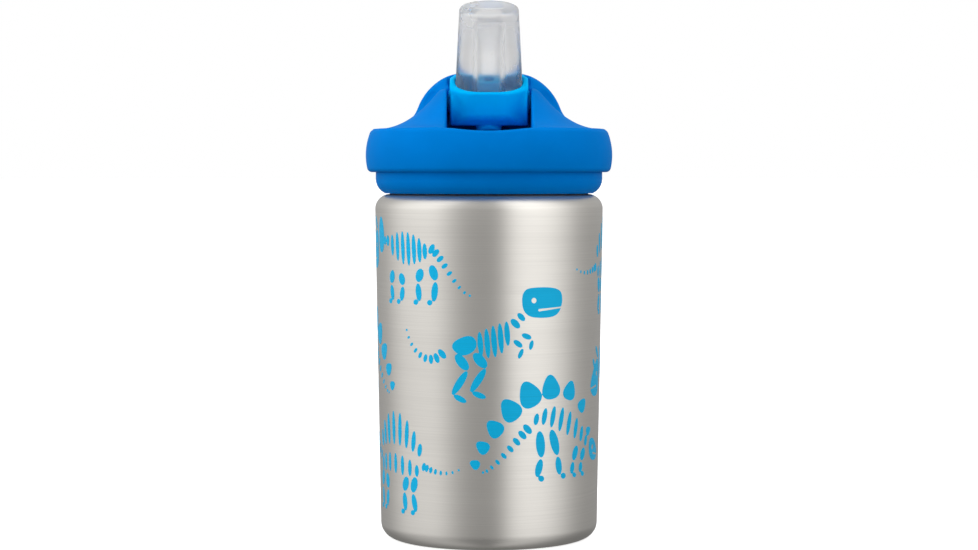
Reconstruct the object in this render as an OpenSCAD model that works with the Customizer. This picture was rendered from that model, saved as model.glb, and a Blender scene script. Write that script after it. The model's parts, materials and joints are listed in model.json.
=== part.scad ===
// Kids water bottle: a vacuum-insulated steel body and a screw lid with a carry loop, a flip-up spout,
// a soft bite valve and a straw.
// Frame: origin at the centre of the base, +Z up, the spout leans towards -Y. All sizes are in millimetres.

/* [Bottle] */
// Outer diameter just under the shoulder
body_top_d = 73; // [72.5:0.1:73.5]
// Outer diameter just above the base radius
body_base_d = 69.6; // [69:0.1:71]
// Height from the base to the top of the shoulder
body_h = 110.3; // [100:0.1:140]
// Outer diameter of the neck under its thread
neck_d = 63.4; // [63:0.1:63.8]
// Steel thickness of the outer shell
shell_t = 0.6; // [0.5:0.05:0.7]
// Steel thickness of the inner liner
liner_t = 0.5; // [0.4:0.05:0.6]
// Vacuum gap between shell and liner at the wall
vacuum_gap = 2.4; // [2:0.1:3]

/* [Lid] */
// Outer diameter of the lid rim
rim_d = 79; // [78:0.5:80]
// Height of the rim band
rim_h = 13.7; // [13.5:0.1:14]
// Height of the skirt that shows under the rim
skirt_h = 7; // [6.8:0.1:7.5]
// Rise of the screw thread in one turn
thread_pitch = 4; // [3.8:0.1:4.2]
// Height of the two ears above the rim
ear_h = 13; // [12:0.1:13.5]

/* [Spout] */
// Forward lean of the open spout in degrees
spout_tilt = 22; // [18:1:25]
// Width of the spout between the ears
spout_w = 24.9; // [24:0.1:25]
// Depth of the spout collar, front to back
spout_d = 18.8; // [18:0.1:19]
// Length of the bite valve above the hinge axis
valve_l = 32; // [28:0.5:33]

/* [Straw] */
// Outer diameter of the straw
straw_d = 8; // [7.6:0.1:8]
// Wall thickness of the straw
straw_t = 0.8; // [0.6:0.1:1]

/* [Hidden] */
$fn = 96;
cut = 60; // half size of a cutting block, larger than the whole lid
eps = 0.01;

// Colours
STEEL = [0.72, 0.71, 0.68];
BLUE = [0.0, 0.42, 0.82];
CLEAR = [0.86, 0.87, 0.88, 0.6];
SILICONE = [0.8, 0.82, 0.84];

// Bottle
r_top = body_top_d / 2;
r_base = body_base_d / 2;
r_neck = neck_d / 2;
base_r = 5; // outer radius of the base corner
shoulder_r = 4.7; // outer radius of the shoulder
neck_h = 9.7;
lip_h = 0.5;
z_lip = body_h + neck_h + lip_h;
base_hole_r = 27;
liner_floor = 5; // underside of the liner's floor
liner_corner = 6;
neck_gap = 0.2;

// Thread: the same ridge on the neck and, reversed, inside the cap
ridge_h = 1.2;
ridge_root = 0.95; // half width where the ridge meets its wall
ridge_crest = 0.5; // half width at its top
ridge_sink = 0.3; // how deep the ridge is let into its wall
neck_turn = 450;
cap_turn = 400;
z_thread = body_h + 3.1; // middle of the neck ridge at its lower end
ring_step = 6; // degrees between two sections of a ridge

// Lid levels
z_rim = body_h + skirt_h;
z_top = z_rim + rim_h;
z_ear = z_top + ear_h;
z_deck = z_lip + 2.3; // underside of the cap's deck
deck_t = 2;
z_trough = z_top - 1.4;
floor_t = 1.8;
wall_t = 1.8;

// Lid radii
r_rim = rim_d / 2;
r_skirt = 36.3;
skirt_corner = 5;
r_root = r_neck + ridge_h + 0.4; // inside of the skirt, between the cap's ridges
rim_corner = 1.2; // radius of the rim's edges
rim_bulge = 5.4; // height of the rim's widest point above its lower edge
rim_curve = 0.026; // how much the rim draws in, per square millimetre above or below that
r_bell_foot = r_rim - 2.4;
bell_reach = 23.6; // where the bell curve would be bell_rise high, inwards from its foot
bell_rise = 16;
bell_power = 2.2;
r_ear = r_bell_foot - bell_reach * pow(ear_h / bell_rise, 1 / bell_power); // outside of the ears' tops

// Gasket and the ring that holds it
gasket_r = [r_neck - 2.8, r_root - 0.2];
gasket_gap = 0.05;
plug_r = [gasket_r[0] - 2.4, gasket_r[0] - 0.2];
plug_h = 5.3;

// Spout
pivot_z = z_top + 8.8;
spout_lip = 7; // lip of the collar above the pivot, along the spout
barrel_r = 7.6;
drum_w = 12;
port_foot = [4, 9.55]; // radius of the foot round the port, and its reach below the hinge axis
trunnion_r = 2.2;
trunnion_reach = 15.4; // from the middle of the lid to the trunnion's end
trunnion_fit = 0.06;
collar_corner = 5;
cup = [21.8, 16.6]; // inside of the collar
cup_corner = 6.2;
cup_floor = 1.8;
nipple_r = 4.5;
nipple_top = 8.4;
flow_r = 2.4;

// Trough between the ears, where the valve folds down
trough_w = 26.8;
cheek_t = 3; // thickness of the trough's side walls
well_r = 10.3; // clearance round the turning spout
dip_r = 72; // the shallow scoop in the front of the rim

// Carry loop
loop_r = 30;
loop_t = 4.6;
loop_centre = [11, z_top - 11]; // centre of the loop's arc, behind the axis and above the base
loop_front = 4.5; // where the loop rises from the ears
loop_crown_r = 24.9; // rounding of the loop across its width
loop_crown_z = z_top + 20.5 - loop_crown_r;
back_wall = 13; // rear face of the hinge housing
back_floor = z_top + 0.8;
back_fillet = 6;

// Bite valve
valve_base = [21.4, 16.2];
valve_tip = [19.1, 14.8];
valve_corner = 6;
valve_seat = 2;
valve_slant = 3;
valve_bore = 4;
valve_roof = 2.6;
slit = [9, 0.5];

// Port seal, straw and air vent
port_r = 2.2;
seal_r = [5.5, 3.4];
seal_top = pivot_z - port_foot[1] - 0.1;
straw_top = z_deck - 3.3;
straw_foot = 9;
socket_r = 6;
vent_y = 20;
vent_stem = 1.5;
vent_holes = 4;

// ---- Shapes that repeat ----

// Points of an arc from angle a to angle b
function arc(centre, r, a, b, steps = 8) =
    [for (i = [0 : steps]) let (t = a + (b - a) * i / steps) centre + r * [cos(t), sin(t)]];

// Height of the lid's bell-shaped top at distance r from the axis
function bell(r, drop = 0) = z_top - drop + bell_rise * pow((r_bell_foot - r) / bell_reach, bell_power);

// Outer radius of the rim band at height z
function rim_r(z) = r_rim - rim_curve * pow(z - z_rim - rim_bulge, 2);

// A plane outline with rounded corners, made of exact arcs
module rounded_rect(size, r) {
    square([size[0], size[1] - 2 * r], center = true);
    square([size[0] - 2 * r, size[1]], center = true);
    for (x = [-1, 1], y = [-1, 1]) translate([x * (size[0] / 2 - r), y * (size[1] / 2 - r)]) circle(r);
}

// A plane outline drawn in (Y, Z), extruded along X about the middle
module along_x(width) {
    rotate([90, 0, 90]) translate([0, 0, -width / 2]) linear_extrude(width) children();
}

module ring(r_in, r_out, z, h) {
    translate([0, 0, z]) difference() {
        cylinder(r = r_out, h = h);
        translate([0, 0, -1]) cylinder(r = r_in, h = h + 2);
    }
}

// One thread ridge. side is 1 for a ridge that stands out of a neck, -1 for one that stands into a cap.
module thread_ridge(r_wall, side, z_start, turn) {
    n = round(turn / ring_step);
    function height(i) = ridge_h * min(1, 0.3 + 0.14 * min(i, n - i));
    function section(i) = [
        [r_wall - side * ridge_sink, -ridge_root], [r_wall - side * ridge_sink, ridge_root],
        [r_wall + side * height(i), ridge_crest], [r_wall + side * height(i), -ridge_crest]];
    points = [for (i = [0 : n], p = section(i)) let (a = i * turn / n)
        [p[0] * cos(a), p[0] * sin(a), z_start + thread_pitch * a / 360 + p[1]]];
    sides = [for (i = [0 : n - 1], k = [0 : 3]) let (a = 4 * i + k, b = 4 * i + (k + 1) % 4)
        each [[a, b, b + 4], [a, b + 4, a + 4]]];
    ends = [[0, 3, 2], [0, 2, 1], [4 * n, 4 * n + 1, 4 * n + 2], [4 * n, 4 * n + 2, 4 * n + 3]];
    faces = concat(sides, ends);
    polyhedron(points, side < 0 ? faces : [for (f = faces) [f[0], f[2], f[1]]]);
}

module at_pivot() {
    translate([0, 0, pivot_z]) rotate([spout_tilt, 0, 0]) children();
}

// ---- Steel bottle ----

module outer_shell() {
    t = shell_t;
    z_shoulder = body_h - shoulder_r;
    r_shoulder = r_top - shoulder_r;
    profile = concat(
        [[base_hole_r, 0]], arc([r_base - base_r, base_r], base_r, -90, 0),
        arc([r_shoulder, z_shoulder], shoulder_r, 0, 90),
        [[r_neck, body_h], [r_neck, z_lip - lip_h], [r_neck - t, z_lip - lip_h], [r_neck - t, body_h - t]],
        arc([r_shoulder, z_shoulder], shoulder_r - t, 90, 0),
        arc([r_base - base_r, base_r], base_r - t, 0, -90), [[base_hole_r, t]]);
    color(STEEL) union() {
        rotate_extrude() polygon(profile);
        thread_ridge(r_neck, 1, z_thread, neck_turn);
    }
}

module inner_liner() {
    r_high = r_top - shell_t - vacuum_gap;
    r_low = r_base - shell_t - vacuum_gap;
    r_mouth = r_neck - shell_t - neck_gap;
    z_high = body_h - 8;
    low = [r_low - liner_corner, liner_floor + liner_corner];
    t = liner_t;
    profile = concat(
        [[0, liner_floor]], arc(low, liner_corner, -90, 0),
        [[r_high, z_high], [r_mouth, body_h - 2], [r_mouth, z_lip - lip_h], [r_neck, z_lip - lip_h],
        [r_neck, z_lip], [r_mouth - t, z_lip], [r_mouth - t, body_h - 2.4], [r_high - t, z_high - 0.4]],
        arc(low, liner_corner - t, 0, -90), [[0, liner_floor + t]]);
    color(STEEL) rotate_extrude() polygon(profile);
}

module base_disc() {
    t = shell_t;
    color(STEEL) rotate_extrude() polygon([
        [1.2, 2.2], [4, 2.2], [5, 1.6], [22, 1.6], [23.5, t], [29.6, t],
        [29.6, 2 * t], [24, 2 * t], [22.5, 1.6 + t], [5.4, 1.6 + t], [4.4, 2.2 + t], [1.2, 2.2 + t]]);
}

module vacuum_seal() {
    color("dimgray") rotate_extrude() polygon([[0, 1.7], [2, 1.7], [2.6, 2.2], [1.2, 2.2], [1.2, 3], [0, 3]]);
}

// A small puck under the liner's floor, which keeps the vacuum by absorbing gas
module getter_capsule() {
    color("gray") translate([14, 0, liner_floor - 1.9]) cylinder(r = 4, h = 1.9);
}

// ---- Lid ----

module lid_gasket() {
    color(SILICONE) ring(gasket_r[0], gasket_r[1], z_lip + gasket_gap, 2.2);
}

module cap_body() {
    z_in = z_rim - skirt_h + 0.25;
    skirt_centre = [r_skirt - skirt_corner, z_in + 4.6];
    skirt = concat(
        [[r_root, z_in]], arc(skirt_centre, skirt_corner, -63, 0),
        [[r_skirt, z_deck + deck_t], [0, z_deck + deck_t], [0, z_deck],
        [plug_r[0], z_deck], [plug_r[0], z_deck - plug_h], [plug_r[1], z_deck - plug_h],
        [plug_r[1], z_deck], [r_root, z_deck]]);
    rotate_extrude() polygon(skirt);
}

module thread_cap() {
    turns_in = 100; // where the cap's ridge starts, in degrees
    color(BLUE) difference() {
        union() {
            cap_body();
            rotate([0, 0, turns_in])
                thread_ridge(r_root, -1, z_thread - thread_pitch * (0.5 - turns_in / 360), cap_turn);
            translate([0, 0, straw_top - 10]) cylinder(r = socket_r, h = 13.4);
            ring(seal_r[0] + 0.1, seal_r[0] + 1.7, z_deck + deck_t - eps, 2.8);
        }
        translate([0, 0, straw_top - 11]) cylinder(d = straw_d + 0.1, h = 11);
        translate([0, 0, straw_top - 1]) cylinder(r = port_r, h = 12);
        translate([0, vent_y, z_deck - 1]) cylinder(r = vent_stem + 0.05, h = deck_t + 2);
        for (i = [0 : vent_holes - 1])
            translate([0, vent_y, z_deck - 1]) rotate([0, 0, 45 + i * 360 / vent_holes])
                translate([3.2, 0, 0]) cylinder(r = 0.6, h = deck_t + 2, $fn = 24);
    }
}

// Everything the lid cover's skin encloses: the rim band and the bell-shaped top
module cover_skin() {
    steps = 14;
    low = z_rim + rim_corner;
    high = z_top - rim_corner;
    profile = concat(
        [[0, z_rim + 1.5], [r_skirt + 0.2, z_rim + 1.5], [r_skirt + 0.2, z_rim]],
        arc([rim_r(low) - rim_corner, low], rim_corner, -90, 0, 4),
        [for (i = [1 : 7]) let (z = low + (high - low) * i / 8) [rim_r(z), z]],
        arc([rim_r(high) - rim_corner, high], rim_corner, 0, 80, 4),
        [for (i = [1 : steps]) let (r = r_bell_foot + (r_ear - r_bell_foot) * i / steps) [r, bell(r)]],
        [[0, z_ear]]);
    rotate_extrude() polygon(profile);
}

// The space inside the cover, over the cap
module cover_hollow() {
    steps = 10;
    r_in = r_skirt + 0.5;
    profile = concat(
        [[0, z_rim - 1], [r_skirt + 0.2, z_rim - 1], [r_skirt + 0.2, z_rim + 1.5], [r_in, z_rim + 1.5],
        [r_in, z_top - wall_t]],
        [for (i = [0 : steps]) let (r = 34 + (18 - 34) * i / steps) [r, bell(r + 1.2, wall_t)]],
        [[0, bell(19.2, wall_t)]]);
    difference() {
        rotate_extrude() polygon(profile);
        translate([-trough_w / 2 - cheek_t, -cut, z_trough - floor_t])
            cube([trough_w + 2 * cheek_t, cut + back_wall, cut]);
        translate([-cut, back_wall - 2, back_floor - floor_t]) cube([2 * cut, cut, cut]);
        ring(r_skirt - wall_t, r_skirt, z_deck + deck_t, 20);
    }
}

// Clearance for the spout and for the valve folded down between the ears
module trough() {
    translate([-trough_w / 2, -r_rim + 5.5, z_trough]) cube([trough_w, r_rim - 5.5, cut]);
    intersection() {
        along_x(trough_w) translate([0, pivot_z]) circle(well_r);
        translate([-cut, -cut, z_trough]) cube(2 * cut);
    }
    translate([-trough_w / 2, -1, pivot_z]) cube([trough_w, well_r + 1, cut]);
    intersection() {
        translate([0, 0, z_top - 1.1 + dip_r]) rotate([90, 0, 0]) cylinder(r = dip_r, h = cut, $fn = 256);
        translate([-trough_w / 2, -cut, z_top - 2]) cube([trough_w, cut - r_rim + 6.5, 4]);
    }
}

// Behind the hinge housing the top is cut down to a floor, which leaves room for a finger
module finger_room() {
    along_x(2 * cut) polygon(concat(
        [[back_wall, z_ear + cut]],
        arc([back_wall + back_fillet, back_floor + back_fillet], back_fillet, 180, 270),
        [[cut, back_floor], [cut, z_ear + cut]]));
}

// An arch from the ears over the finger room to the back of the rim, rounded across its width
module carry_loop() {
    arch = concat(
        [[loop_front, z_ear - 1.5]], arc(loop_centre, loop_r, 90, 21, 16),
        arc(loop_centre, loop_r - loop_t, 24, 90, 16));
    intersection() {
        along_x(2 * r_rim) polygon(arch);
        translate([0, 0, z_top - 1]) cylinder(r = rim_r(z_top) - 0.3, h = 40);
        translate([0, 0, loop_crown_z]) rotate([-90, 0, 0]) cylinder(r = loop_crown_r, h = cut, $fn = 160);
    }
}

module lid_cover() {
    color(BLUE) difference() {
        union() {
            difference() {
                cover_skin();
                cover_hollow();
                finger_room();
            }
            carry_loop();
        }
        trough();
        along_x(2 * trunnion_reach + 0.4) translate([0, pivot_z]) circle(trunnion_r + trunnion_fit);
        cylinder(r = seal_r[1] + 0.2, h = z_top);
        translate([0, vent_y + 3, z_top - 5]) cylinder(r = 0.8, h = 10, $fn = 24);
    }
}

module port_seal() {
    z = z_deck + deck_t;
    color(SILICONE) difference() {
        union() {
            translate([0, 0, z]) cylinder(r = seal_r[0], h = 2);
            translate([0, 0, z]) cylinder(r = seal_r[1], h = seal_top - z);
        }
        translate([0, 0, z - 1]) cylinder(r = port_r, h = 10);
    }
}

// An umbrella valve: its thin disc lets air in past the deck's small holes and shuts against liquid
module vent_valve() {
    z = z_deck;
    color(SILICONE) translate([0, vent_y, 0]) rotate_extrude() polygon([
        [0, z - 2], [2.4, z - 1.8], [5, z - 0.5], [5, z], [4.6, z], [2.2, z - 0.7], [vent_stem, z - 0.5],
        [vent_stem, z + deck_t], [2.1, z + deck_t], [1.2, z + deck_t + 2], [0, z + deck_t + 2]]);
}

module straw() {
    color(CLEAR) difference() {
        translate([0, 0, straw_foot]) cylinder(d = straw_d, h = straw_top - straw_foot);
        cylinder(r = straw_d / 2 - straw_t, h = z_top);
        translate([0, 0, straw_foot]) rotate([0, 35, 0]) translate([-10, -10, -20]) cube(20);
    }
}

// ---- Spout ----

module spout_block() {
    h = spout_d / 2;
    intersection() {
        along_x(spout_w) polygon([
            [-h, spout_lip], [-h, -2], [-4.5, -6.1], [4.5, -6.1], [h, -2], [h, spout_lip]]);
        translate([0, 0, -cut]) linear_extrude(2 * cut) rounded_rect([spout_w, spout_d], collar_corner);
    }
    along_x(spout_w) circle(barrel_r);
    intersection() {
        along_x(drum_w) circle(port_foot[1]);
        rotate([-spout_tilt, 0, 0]) translate([0, 0, -12]) cylinder(r = port_foot[0], h = 12);
    }
    along_x(spout_w + 1) circle(trunnion_r + 1.4);
    along_x(2 * trunnion_reach) circle(trunnion_r);
}

module spout() {
    color(BLUE) at_pivot() difference() {
        union() {
            difference() {
                spout_block();
                translate([0, 0, cup_floor]) linear_extrude(20) rounded_rect(cup, cup_corner);
            }
            translate([0, 0, cup_floor - 0.5]) cylinder(r = nipple_r, h = nipple_top - cup_floor + 0.5);
        }
        translate([0, 0, -1]) cylinder(r = flow_r, h = 20);
        rotate([-spout_tilt, 0, 0]) translate([0, 0, -12]) cylinder(r = port_r, h = 12);
    }
}

module valve_plate(size) {
    for (x = [-1, 1], y = [-1, 1])
        translate([x * (size[0] / 2 - valve_corner), y * (size[1] / 2 - valve_corner), 0])
            cylinder(r = valve_corner, h = 0.5, $fn = 32);
}

module bite_valve() {
    color(CLEAR) at_pivot() difference() {
        hull() {
            translate([0, 0, valve_seat]) valve_plate(valve_base);
            translate([0, 0, valve_l - 0.5]) rotate([valve_slant, 0, 0]) valve_plate(valve_tip);
        }
        cylinder(r = nipple_r + 0.1, h = nipple_top + 0.4);
        cylinder(r = valve_bore, h = valve_l - valve_roof);
        translate([-slit[0] / 2, -slit[1] / 2, valve_l - 5]) cube([slit[0], slit[1], 10]);
    }
}

outer_shell();
inner_liner();
base_disc();
vacuum_seal();
getter_capsule();
lid_gasket();
thread_cap();
lid_cover();
port_seal();
vent_valve();
straw();
spout();
bite_valve();
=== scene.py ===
"""A kids water bottle: brushed steel body with printed skeletons, blue screw lid, flip-up spout, bite valve.

The CAD frame gives the sizes and the joints. The visible pieces are rebuilt round it: turned parts as lathed
meshes, moulded parts as the zero surface of a distance field, which rounds and blends their edges, and the
print as a thin layer of ink. Lengths are in millimetres until a mesh is made, and MM turns them into metres.
"""
import json
import math

import bpy
import numpy as np
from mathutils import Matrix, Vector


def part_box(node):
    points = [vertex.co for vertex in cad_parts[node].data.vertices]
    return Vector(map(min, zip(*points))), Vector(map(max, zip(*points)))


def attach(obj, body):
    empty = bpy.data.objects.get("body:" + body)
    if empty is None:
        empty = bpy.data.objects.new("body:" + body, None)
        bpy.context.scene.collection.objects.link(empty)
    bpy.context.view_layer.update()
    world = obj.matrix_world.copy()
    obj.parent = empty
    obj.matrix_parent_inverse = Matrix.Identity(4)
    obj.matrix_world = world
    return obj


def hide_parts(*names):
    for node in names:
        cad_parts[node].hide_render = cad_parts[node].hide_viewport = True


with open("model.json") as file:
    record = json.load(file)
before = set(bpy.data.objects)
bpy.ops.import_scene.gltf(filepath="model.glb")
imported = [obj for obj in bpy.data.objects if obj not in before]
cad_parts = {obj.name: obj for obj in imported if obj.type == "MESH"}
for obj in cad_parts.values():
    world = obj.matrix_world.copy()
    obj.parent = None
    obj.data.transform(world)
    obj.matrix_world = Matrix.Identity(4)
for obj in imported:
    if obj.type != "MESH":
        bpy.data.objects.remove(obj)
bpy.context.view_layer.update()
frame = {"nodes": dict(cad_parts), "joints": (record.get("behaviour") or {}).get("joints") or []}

MM = 0.001
TAU = 2 * math.pi

# ---------------------------------------------------------------- sizes, from the frame and in millimetres


def box_mm(node):
    """Lowest and highest corner of a CAD node, in millimetres."""
    low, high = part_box(node)
    return low / MM, high / MM


def joint(name):
    return next(j for j in frame["joints"] if j["name"] == name)


SHELL_HIGH = box_mm("outer_shell")[1]
CAP_HIGH = box_mm("thread_cap")[1]
COVER_LOW, COVER_HIGH = box_mm("lid_cover")
STRAW_HIGH = box_mm("straw")[1]

# Bottle
R_TOP = SHELL_HIGH.x
R_BASE = R_TOP - 1.7
Z_NECK = SHELL_HIGH.z
Z_SHOULDER = Z_NECK - 9.7
R_NECK = box_mm("inner_liner")[1].x - 1.8
BASE_CORNER = 5.0
SHOULDER_R = 4.7
SHELL_T = 0.6
BASE_HOLE_R = 27.0

# Thread
PITCH = 4.0
RIDGE_H = 1.2
RIDGE_ROOT, RIDGE_CREST = 0.95, 0.5
Z_THREAD = Z_SHOULDER + 3.1
NECK_TURN, CAP_TURN, CAP_START = 450, 400, 100

# Lid
R_RIM = COVER_HIGH.x
Z_RIM = COVER_LOW.z
Z_TOP = Z_RIM + 13.7
Z_EAR = Z_TOP + 13
RIM_CORNER = 1.2
RIM_BULGE, RIM_CURVE = Z_RIM + 5.4, 0.026
BELL_FOOT, BELL_REACH, BELL_RISE, BELL_POWER = R_RIM - 2.4, 23.6, 16.0, 2.2
WALL = 1.8
R_SKIRT = CAP_HIGH.x
SKIRT_CORNER = 5.0
R_ROOT = R_SKIRT - 3.0
Z_DECK = CAP_HIGH.z - 4.8
DECK_T = 2.0

# Hinge and spout
PIVOT = [c / MM for c in joint("spout_flip")["pos_m"]]
LEAN = math.atan2(-joint("valve_pull")["axis"][1], joint("valve_pull")["axis"][2])
TRUNNION_R = 2.2
TROUGH_HALF = 13.4
Z_TROUGH = Z_TOP - 1.4
WELL_R = 10.3
BACK_WALL = 13.0
Z_BACK = Z_TOP + 0.8

CELL = 0.45  # grid of the distance fields
FLOOR_HALF = 60000


# ---------------------------------------------------------------- meshes


def add_mesh(name, points, faces, sharp=35):
    """A mesh object from points in millimetres, shaded smooth except at edges sharper than that angle."""
    mesh = bpy.data.meshes.new(name)
    mesh.from_pydata((np.asarray(points) * MM).tolist(), [], [list(f) for f in faces])
    mesh.validate()
    mesh.polygons.foreach_set("use_smooth", [True] * len(mesh.polygons))
    mesh.set_sharp_from_angle(angle=math.radians(sharp))
    obj = bpy.data.objects.new(name, mesh)
    bpy.context.scene.collection.objects.link(obj)
    return obj


def arc(centre, radius, start, end, steps=12):
    """Points (r, z) of an arc, angles in degrees."""
    angles = np.radians(np.linspace(start, end, steps + 1))
    return [(centre[0] + radius * math.cos(a), centre[1] + radius * math.sin(a)) for a in angles]


def lathe(profile, segments=300):
    """Points and faces of a closed profile of (r, z), listed anticlockwise and turned round the axis."""
    profile = np.array(profile, float)
    angle = np.arange(segments) * TAU / segments
    r, z = profile[:, 0:1], profile[:, 1:2]
    points = np.stack([r * np.cos(angle), r * np.sin(angle), z + 0 * angle], axis=-1).reshape(-1, 3)
    faces = []
    for i in range(len(profile)):
        j = (i + 1) % len(profile)
        if profile[i, 0] == 0 and profile[j, 0] == 0:
            continue
        for k in range(segments):
            m = (k + 1) % segments
            quad = [i * segments + k, i * segments + m, j * segments + m, j * segments + k]
            if profile[i, 0] == 0:
                quad = [i * segments, j * segments + m, j * segments + k]
            elif profile[j, 0] == 0:
                quad = [i * segments + k, i * segments + m, j * segments]
            faces.append(quad)
    used = sorted({v for f in faces for v in f})
    new = {v: n for n, v in enumerate(used)}
    return points[used], [[new[v] for v in f] for f in faces]


def thread(r_wall, side, z_start, turn, step=3):
    """Points and faces of a thread ridge. side is 1 for one on a neck, -1 for one inside a cap."""
    count = turn // step
    points = []
    for i in range(count + 1):
        angle = math.radians(i * step)
        height = RIDGE_H * min(1, 0.3 + 0.07 * min(i, count - i))
        z = z_start + PITCH * angle / TAU
        for r, dz in [(r_wall - 0.3 * side, -RIDGE_ROOT), (r_wall - 0.3 * side, RIDGE_ROOT),
                      (r_wall + side * height, RIDGE_CREST), (r_wall + side * height, -RIDGE_CREST)]:
            points.append((r * math.cos(angle), r * math.sin(angle), z + dz))
    faces = [[0, 3, 2, 1], [4 * count, 4 * count + 1, 4 * count + 2, 4 * count + 3]]
    for i in range(count):
        for k in range(4):
            a, b = 4 * i + k, 4 * i + (k + 1) % 4
            faces.append([a, b, b + 4, a + 4])
    if side < 0:
        faces = [f[::-1] for f in faces]
    return np.array(points), faces


def join(parts):
    """Several (points, faces) as one."""
    points, faces, start = [], [], 0
    for p, f in parts:
        points.append(p)
        faces += [[v + start for v in face] for face in f]
        start += len(p)
    return np.concatenate(points), faces


# ---------------------------------------------------------------- distance fields


def smin(a, b, k):
    """The union of two fields, with a fillet of about k where they meet."""
    h = np.maximum(k - np.abs(a - b), 0) / k
    return np.minimum(a, b) - h * h * k / 4


def smax(a, b, k):
    return -smin(-a, -b, k)


def slab(v, low, high):
    return np.maximum(low - v, v - high)


def rounded_rect(u, v, half_u, half_v, corner):
    qu, qv = np.abs(u) - half_u + corner, np.abs(v) - half_v + corner
    return np.hypot(np.maximum(qu, 0), np.maximum(qv, 0)) + np.minimum(np.maximum(qu, qv), 0) - corner


def gradient(field, p, e=0.02):
    columns = []
    for axis in range(3):
        d = np.zeros(3)
        d[axis] = e
        columns.append((field(*(p + d).T) - field(*(p - d).T)) / (2 * e))
    return np.stack(columns, axis=1)


def surface(field, low, high, cell=CELL):
    """Points and quads of the zero surface of field(x, y, z), negative inside (naive surface nets)."""
    axes = [np.arange(a - 1.5 * cell, b + 2.5 * cell, cell) for a, b in zip(low, high)]
    values = field(*np.meshgrid(*axes, indexing="ij", sparse=True))
    values = np.broadcast_to(values, [len(a) for a in axes])
    inside = values < 0
    n = np.array(inside.shape) - 1
    count = np.zeros(n, np.int8)
    for corner in np.ndindex(2, 2, 2):
        count += inside[tuple(slice(c, c + m) for c, m in zip(corner, n))]
    cells = np.argwhere((count > 0) & (count < 8))
    index = np.full(n, -1)
    index[tuple(cells.T)] = np.arange(len(cells))

    total, hits = np.zeros((len(cells), 3)), np.zeros(len(cells))
    for axis in range(3):
        for corner in np.ndindex(2, 2, 2):
            if corner[axis]:
                continue
            step = np.eye(3, dtype=int)[axis]
            a = values[tuple((cells + corner).T)]
            b = values[tuple((cells + corner + step).T)]
            cross = (a < 0) != (b < 0)
            t = np.where(cross, a / np.where(cross, a - b, 1), 0)
            total += cross[:, None] * (np.array(corner) + t[:, None] * step)
            hits += cross
    p = np.array([a[0] for a in axes]) + (cells + total / hits[:, None]) * cell
    for _ in range(2):
        g = gradient(field, p)
        move = field(*p.T) / np.maximum((g * g).sum(1), 0.25)
        p = p - np.clip(move, -0.4 * cell, 0.4 * cell)[:, None] * g

    quads = []
    for axis in range(3):
        b, c = np.eye(3, dtype=int)[(axis + 1) % 3], np.eye(3, dtype=int)[(axis + 2) % 3]
        upper = tuple(slice(1, None) if i == axis else slice(None) for i in range(3))
        lower = tuple(slice(None, -1) if i == axis else slice(None) for i in range(3))
        edges = np.argwhere(inside[upper] != inside[lower])
        leaving = inside[lower][tuple(edges.T)]
        quad = np.stack([index[tuple((edges - off).T)] for off in (0 * b, b, b + c, c)], axis=1)
        quad[~leaving] = quad[~leaving][:, ::-1]
        quads.append(quad)
    return p, np.concatenate(quads).tolist()


# ---------------------------------------------------------------- materials


def node_maker(tree):
    """A helper that adds a node to the tree and sets or links its inputs."""
    def node(kind, inputs=None, **settings):
        made = tree.nodes.new(kind)
        for key, value in settings.items():
            setattr(made, key, value)
        for key, value in (inputs or {}).items():
            if isinstance(value, bpy.types.NodeSocket):
                tree.links.new(value, made.inputs[key])
            else:
                made.inputs[key].default_value = value
        return made
    return node


def material(name, color, roughness, metallic=0.0, ior=1.5):
    """A new Principled material, with its node tree, its shader and a helper that adds and links nodes."""
    mat = bpy.data.materials.new(name)
    mat.use_nodes = True
    tree = mat.node_tree
    shader = tree.nodes["Principled BSDF"]
    shader.inputs["Base Color"].default_value = (*color, 1)
    shader.inputs["Roughness"].default_value = roughness
    shader.inputs["Metallic"].default_value = metallic
    shader.inputs["IOR"].default_value = ior
    mat.diffuse_color = (*color, 1)

    def link(socket, name_in):
        tree.links.new(socket, shader.inputs[name_in])

    return mat, shader, node_maker(tree), link


def mixed(node, factor, first, second):
    """A colour between two, each of which is a socket or three numbers."""
    first, second = [c if isinstance(c, bpy.types.NodeSocket) else (*c, 1) for c in (first, second)]
    made = node("ShaderNodeMix", {"Factor": factor, "A": first, "B": second}, data_type="RGBA")
    return made.outputs["Result"]


def shaded(color, factor):
    """The colour, lighter or darker."""
    return [min(1, c * factor) for c in color]


def stretched_noise(node, scale, stretch, detail=3.0, seed=0.0):
    """Noise over the object's own coordinates in metres, stretched by a factor along each axis."""
    place = node("ShaderNodeTexCoord").outputs["Object"]
    mapped = node("ShaderNodeMapping", {"Vector": place, "Scale": stretch, "Location": (seed, seed, seed)})
    inputs = {"Vector": mapped.outputs["Vector"], "Scale": scale, "Detail": detail}
    return node("ShaderNodeTexNoise", inputs).outputs["Fac"]


def ranged(node, value, low, high):
    """A 0 to 1 value, mapped onto low to high."""
    inputs = {"Value": value, "From Min": 0.25, "From Max": 0.75, "To Min": low, "To Max": high}
    return node("ShaderNodeMapRange", inputs).outputs["Result"]


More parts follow.
